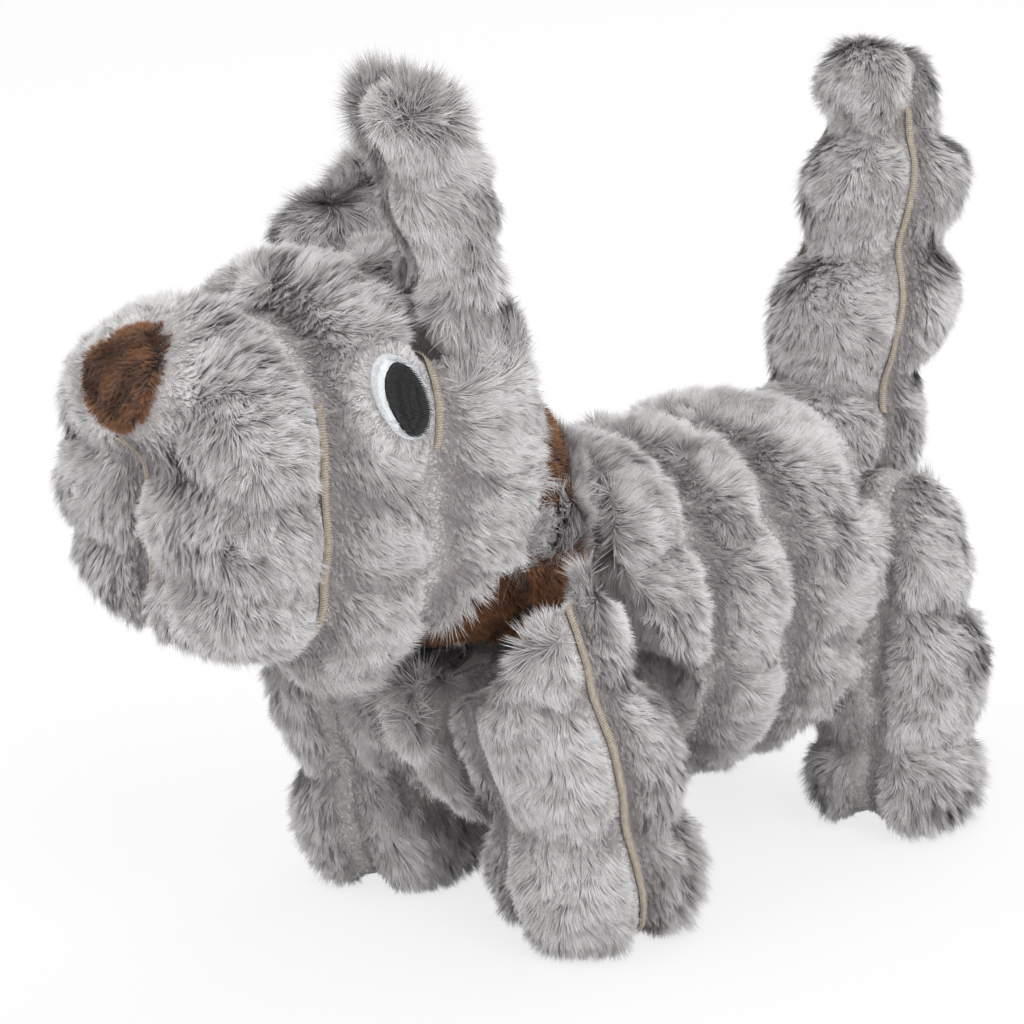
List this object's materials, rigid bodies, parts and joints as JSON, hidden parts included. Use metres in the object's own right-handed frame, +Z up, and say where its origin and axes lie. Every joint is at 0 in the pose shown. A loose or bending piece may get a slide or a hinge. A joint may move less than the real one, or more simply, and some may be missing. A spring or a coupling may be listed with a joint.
{
  "type": "plush dog toy",
  "caption": "Standing stuffed dog toy in ribbed long-pile fur, with a squeaker and with head, ears, legs and tail that bend.",
  "frame": {"origin": "on the ground under the middle of the toy's bounding box", "axes": "+Z up, the body points along -Y, the dog's left side is +X"},
  "size_m": [0.136, 0.305, 0.2265],
  "materials": {
    "fur": "grey long-pile fur fabric with short-pile grooves",
    "nose_plush": "brown short-pile plush",
    "collar_plush": "dark brown short-pile plush",
    "white_thread": "satin-stitch embroidery",
    "black_thread": "satin-stitch embroidery",
    "filling": "polyester fibre filling",
    "squeaker_shell": "soft clear-white moulded plastic",
    "squeaker_reed": "white moulded plastic"
  },
  "bodies": {
    "body": {"chest_panel_left": "fur", "chest_panel_right": "fur", "body_band_1": "fur", "body_band_2": "fur", "body_band_3": "fur", "rump_panel_left": "fur", "rump_panel_right": "fur", "squeaker_bulb": "squeaker_shell", "squeaker_reed": "squeaker_reed", "body_stuffing_front": "filling", "body_stuffing_rear": "filling"},
    "neck": {"collar": "collar_plush", "neck_stuffing": "filling"},
    "head": {"muzzle_panel_left": "fur", "muzzle_panel_right": "fur", "chin_panel": "fur", "cheek_band_left": "fur", "cheek_band_right": "fur", "nape_band_left": "fur", "nape_band_right": "fur", "nose": "nose_plush", "eye_white_left": "white_thread", "eye_pupil_left": "black_thread", "eye_white_right": "white_thread", "eye_pupil_right": "black_thread", "head_stuffing": "filling"},
    "ear_left": {"ear_outer_panel_left": "fur", "ear_inner_panel_left": "fur", "ear_stuffing_left": "filling"},
    "ear_right": {"ear_outer_panel_right": "fur", "ear_inner_panel_right": "fur", "ear_stuffing_right": "filling"},
    "tail": {"tail_front_panel": "fur", "tail_back_panel": "fur", "tail_stuffing": "filling"},
    "front_leg_left": {"front_leg_front_panel_left": "fur", "front_leg_back_panel_left": "fur", "front_leg_inner_panel_left": "fur", "front_leg_stuffing_left": "filling"},
    "front_leg_right": {"front_leg_front_panel_right": "fur", "front_leg_back_panel_right": "fur", "front_leg_inner_panel_right": "fur", "front_leg_stuffing_right": "filling"},
    "hind_leg_left": {"hind_leg_front_panel_left": "fur", "hind_leg_outer_panel_left": "fur", "hind_leg_inner_panel_left": "fur", "hind_leg_stuffing_left": "filling"},
    "hind_leg_right": {"hind_leg_front_panel_right": "fur", "hind_leg_outer_panel_right": "fur", "hind_leg_inner_panel_right": "fur", "hind_leg_stuffing_right": "filling"}
  },
  "joints": [
    {"name": "neck_turn", "type": "hinge", "parent": "body", "child": "neck", "pos_m": [0.00352, -0.05882, 0.112], "axis": [0, 0, 1], "range_deg": [-8, 22], "stiffness_Nm_per_rad": 0.6},
    {"name": "head_nod", "type": "hinge", "parent": "neck", "child": "head", "pos_m": [0.00352, -0.05882, 0.112], "axis": [0.9659, -0.2588, 0], "range_deg": [-8, 5], "stiffness_Nm_per_rad": 1.5},
    {"name": "ear_left_fold", "type": "hinge", "parent": "head", "child": "ear_left", "pos_m": [0.02913, -0.07914, 0.172], "axis": [0.9659, -0.2588, 0], "range_deg": [-10, 10], "stiffness_Nm_per_rad": 0.08},
    {"name": "ear_right_fold", "type": "hinge", "parent": "head", "child": "ear_right", "pos_m": [-0.02882, -0.06362, 0.172], "axis": [0.9659, -0.2588, 0], "range_deg": [-10, 10], "stiffness_Nm_per_rad": 0.08},
    {"name": "tail_wag", "type": "hinge", "parent": "body", "child": "tail", "pos_m": [0.00352, 0.10418, 0.102], "axis": [0, 1, 0], "range_deg": [-12, 12], "stiffness_Nm_per_rad": 0.3},
    {"name": "front_leg_left_swing", "type": "hinge", "parent": "body", "child": "front_leg_left", "pos_m": [0.04352, -0.05982, 0.084], "axis": [1, 0, 0], "range_deg": [-10, 10], "stiffness_Nm_per_rad": 1.5},
    {"name": "front_leg_right_swing", "type": "hinge", "parent": "body", "child": "front_leg_right", "pos_m": [-0.03648, -0.05982, 0.084], "axis": [1, 0, 0], "range_deg": [-10, 10], "stiffness_Nm_per_rad": 1.5},
    {"name": "hind_leg_left_swing", "type": "hinge", "parent": "body", "child": "hind_leg_left", "pos_m": [0.04352, 0.09118, 0.072], "axis": [1, 0, 0], "range_deg": [-10, 10], "stiffness_Nm_per_rad": 1.5},
    {"name": "hind_leg_right_swing", "type": "hinge", "parent": "body", "child": "hind_leg_right", "pos_m": [-0.03648, 0.09118, 0.072], "axis": [1, 0, 0], "range_deg": [-10, 10], "stiffness_Nm_per_rad": 1.5}
  ]
}
